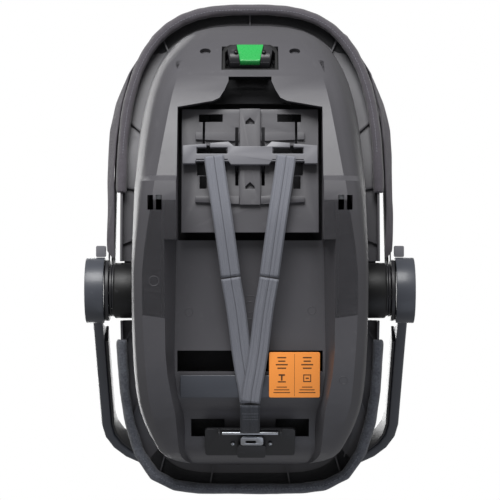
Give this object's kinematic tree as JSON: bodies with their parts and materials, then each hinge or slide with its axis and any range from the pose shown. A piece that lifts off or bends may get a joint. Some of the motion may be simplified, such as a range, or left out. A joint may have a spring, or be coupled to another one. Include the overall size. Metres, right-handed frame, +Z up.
{
  "type": "infant car seat",
  "caption": "Rear-facing infant carrier seat with rocker base, swinging carry handle, folding canopy, sliding headrest and harness.",
  "frame": {"origin": "centre of the bounding box in plan, on the floor that the runners stand on", "axes": "+Z up, +Y towards the head end, -Y towards the foot end, +X across"},
  "size_m": [0.438, 0.6917, 0.467],
  "materials": {
    "shell": "satin",
    "dark": "satin",
    "gloss": "gloss",
    "grey": "satin",
    "slate": "satin",
    "cloth": "matte",
    "melange": "matte",
    "webbing": "satin",
    "foam": "matte",
    "green": "gloss",
    "label": "satin",
    "steel": "satin",
    "red": "gloss"
  },
  "bodies": {
    "shell": {"adjuster_flap": "dark", "adjuster_housing": "dark", "adjuster_pin_bar": "steel", "adjuster_screw_left": "steel", "adjuster_screw_right": "steel", "buckle": "dark", "crotch_strap": "webbing", "foam_liner": "foam", "foot_rim_roll": "melange", "harness_plate": "shell", "head_rim_cover": "cloth", "height_rack": "shell", "hub_bracket_left": "gloss", "hub_bracket_right": "gloss", "hub_inner_left": "dark", "hub_inner_right": "dark", "joined_strap": "webbing", "label_plate": "label", "outer_shell": "shell", "pocket_cover": "slate", "rear_strap_lower_left": "webbing", "rear_strap_lower_right": "webbing", "rear_strap_upper_left": "webbing", "rear_strap_upper_right": "webbing", "release_bezel": "gloss", "seat_cover": "cloth", "seat_inlay": "melange", "shoulder_pad_left": "melange", "shoulder_pad_right": "melange", "shoulder_strap_left": "webbing", "shoulder_strap_right": "webbing", "tongue_left": "steel", "tongue_right": "steel", "canopy_cloth_rear": "cloth"},
    "handle": {"handle_arch": "slate", "handle_lining_left": "dark", "handle_lining_right": "dark", "handle_grip": "foam"},
    "lock_left": {"handle_lock_left": "grey"},
    "lock_right": {"handle_lock_right": "grey"},
    "canopy_middle": {"canopy_hoop_middle": "dark", "canopy_cloth_front": "cloth"},
    "canopy_front": {"canopy_hoop_front": "dark"},
    "headrest": {"strap_yoke": "grey", "headrest_core": "dark", "headrest_pad": "melange"},
    "release": {"release_grip": "dark", "release_insert": "green", "release_screw_left": "gloss", "release_screw_right": "gloss"},
    "hook_left": {"docking_hook_left": "steel"},
    "hook_right": {"docking_hook_right": "steel"},
    "splitter": {"splitter_plate": "steel"},
    "buckle_press": {"buckle_button": "red"},
    "adjuster_press": {"adjuster_button": "dark"}
  },
  "joints": [
    {"name": "handle_swing", "type": "hinge", "parent": "shell", "child": "handle", "pos_m": [0, -0.01824, 0.22687], "axis": [1, 0, 0], "range_deg": [-94.5, 32.5]},
    {"name": "lock_press_left", "type": "slide", "parent": "handle", "child": "lock_left", "axis": [-1, 0, 0], "range_m": [0, 0.005], "stiffness_N_per_m": 400},
    {"name": "lock_press_right", "type": "slide", "parent": "handle", "child": "lock_right", "axis": [1, 0, 0], "range_m": [0, 0.005], "stiffness_N_per_m": 400},
    {"name": "canopy_unfold_middle", "type": "hinge", "parent": "shell", "child": "canopy_middle", "pos_m": [0, -0.01824, 0.22687], "axis": [1, 0, 0], "range_deg": [0, 50], "deforming": ["canopy_cloth_rear"]},
    {"name": "canopy_unfold_front", "type": "hinge", "parent": "canopy_middle", "child": "canopy_front", "pos_m": [0, -0.01824, 0.22687], "axis": [1, 0, 0], "range_deg": [0, 50], "deforming": ["canopy_cloth_front"]},
    {"name": "headrest_height", "type": "slide", "parent": "shell", "child": "headrest", "axis": [0, 0.9166, 0.3998], "range_m": [-0.02, 0.025], "deforming": ["rear_strap_upper_left", "rear_strap_upper_right", "shoulder_strap_left", "shoulder_strap_right", "shoulder_pad_left", "shoulder_pad_right"]},
    {"name": "release_lift", "type": "slide", "parent": "shell", "child": "release", "axis": [0, 0.8548, -0.519], "range_m": [0, 0.01], "stiffness_N_per_m": 400},
    {"name": "hook_slide_left", "type": "slide", "parent": "shell", "child": "hook_left", "axis": [0, 0.9659, 0.2588], "range_m": [0, 0.0042]},
    {"name": "hook_slide_right", "type": "slide", "parent": "shell", "child": "hook_right", "axis": [0, 0.9659, 0.2588], "range_m": [0, 0.0042]},
    {"name": "harness_draw", "type": "slide", "parent": "shell", "child": "splitter", "axis": [0, 0.891, -0.454], "range_m": [0, 0.03], "deforming": ["rear_strap_lower_left", "rear_strap_lower_right", "joined_strap"]},
    {"name": "buckle_press_in", "type": "slide", "parent": "shell", "child": "buckle_press", "axis": [0, 0.2588, -0.9659], "range_m": [0, 0.003], "stiffness_N_per_m": 800},
    {"name": "adjuster_press_in", "type": "slide", "parent": "shell", "child": "adjuster_press", "axis": [0, 0.2588, -0.9659], "range_m": [0, 0.0025], "stiffness_N_per_m": 800}
  ],
  "couplings": [
    {"joint": "canopy_unfold_front", "follows": "canopy_unfold_middle", "ratio": 1},
    {"joint": "hook_slide_left", "follows": "release_lift", "ratio": 0.4},
    {"joint": "hook_slide_right", "follows": "release_lift", "ratio": 0.4}
  ]
}
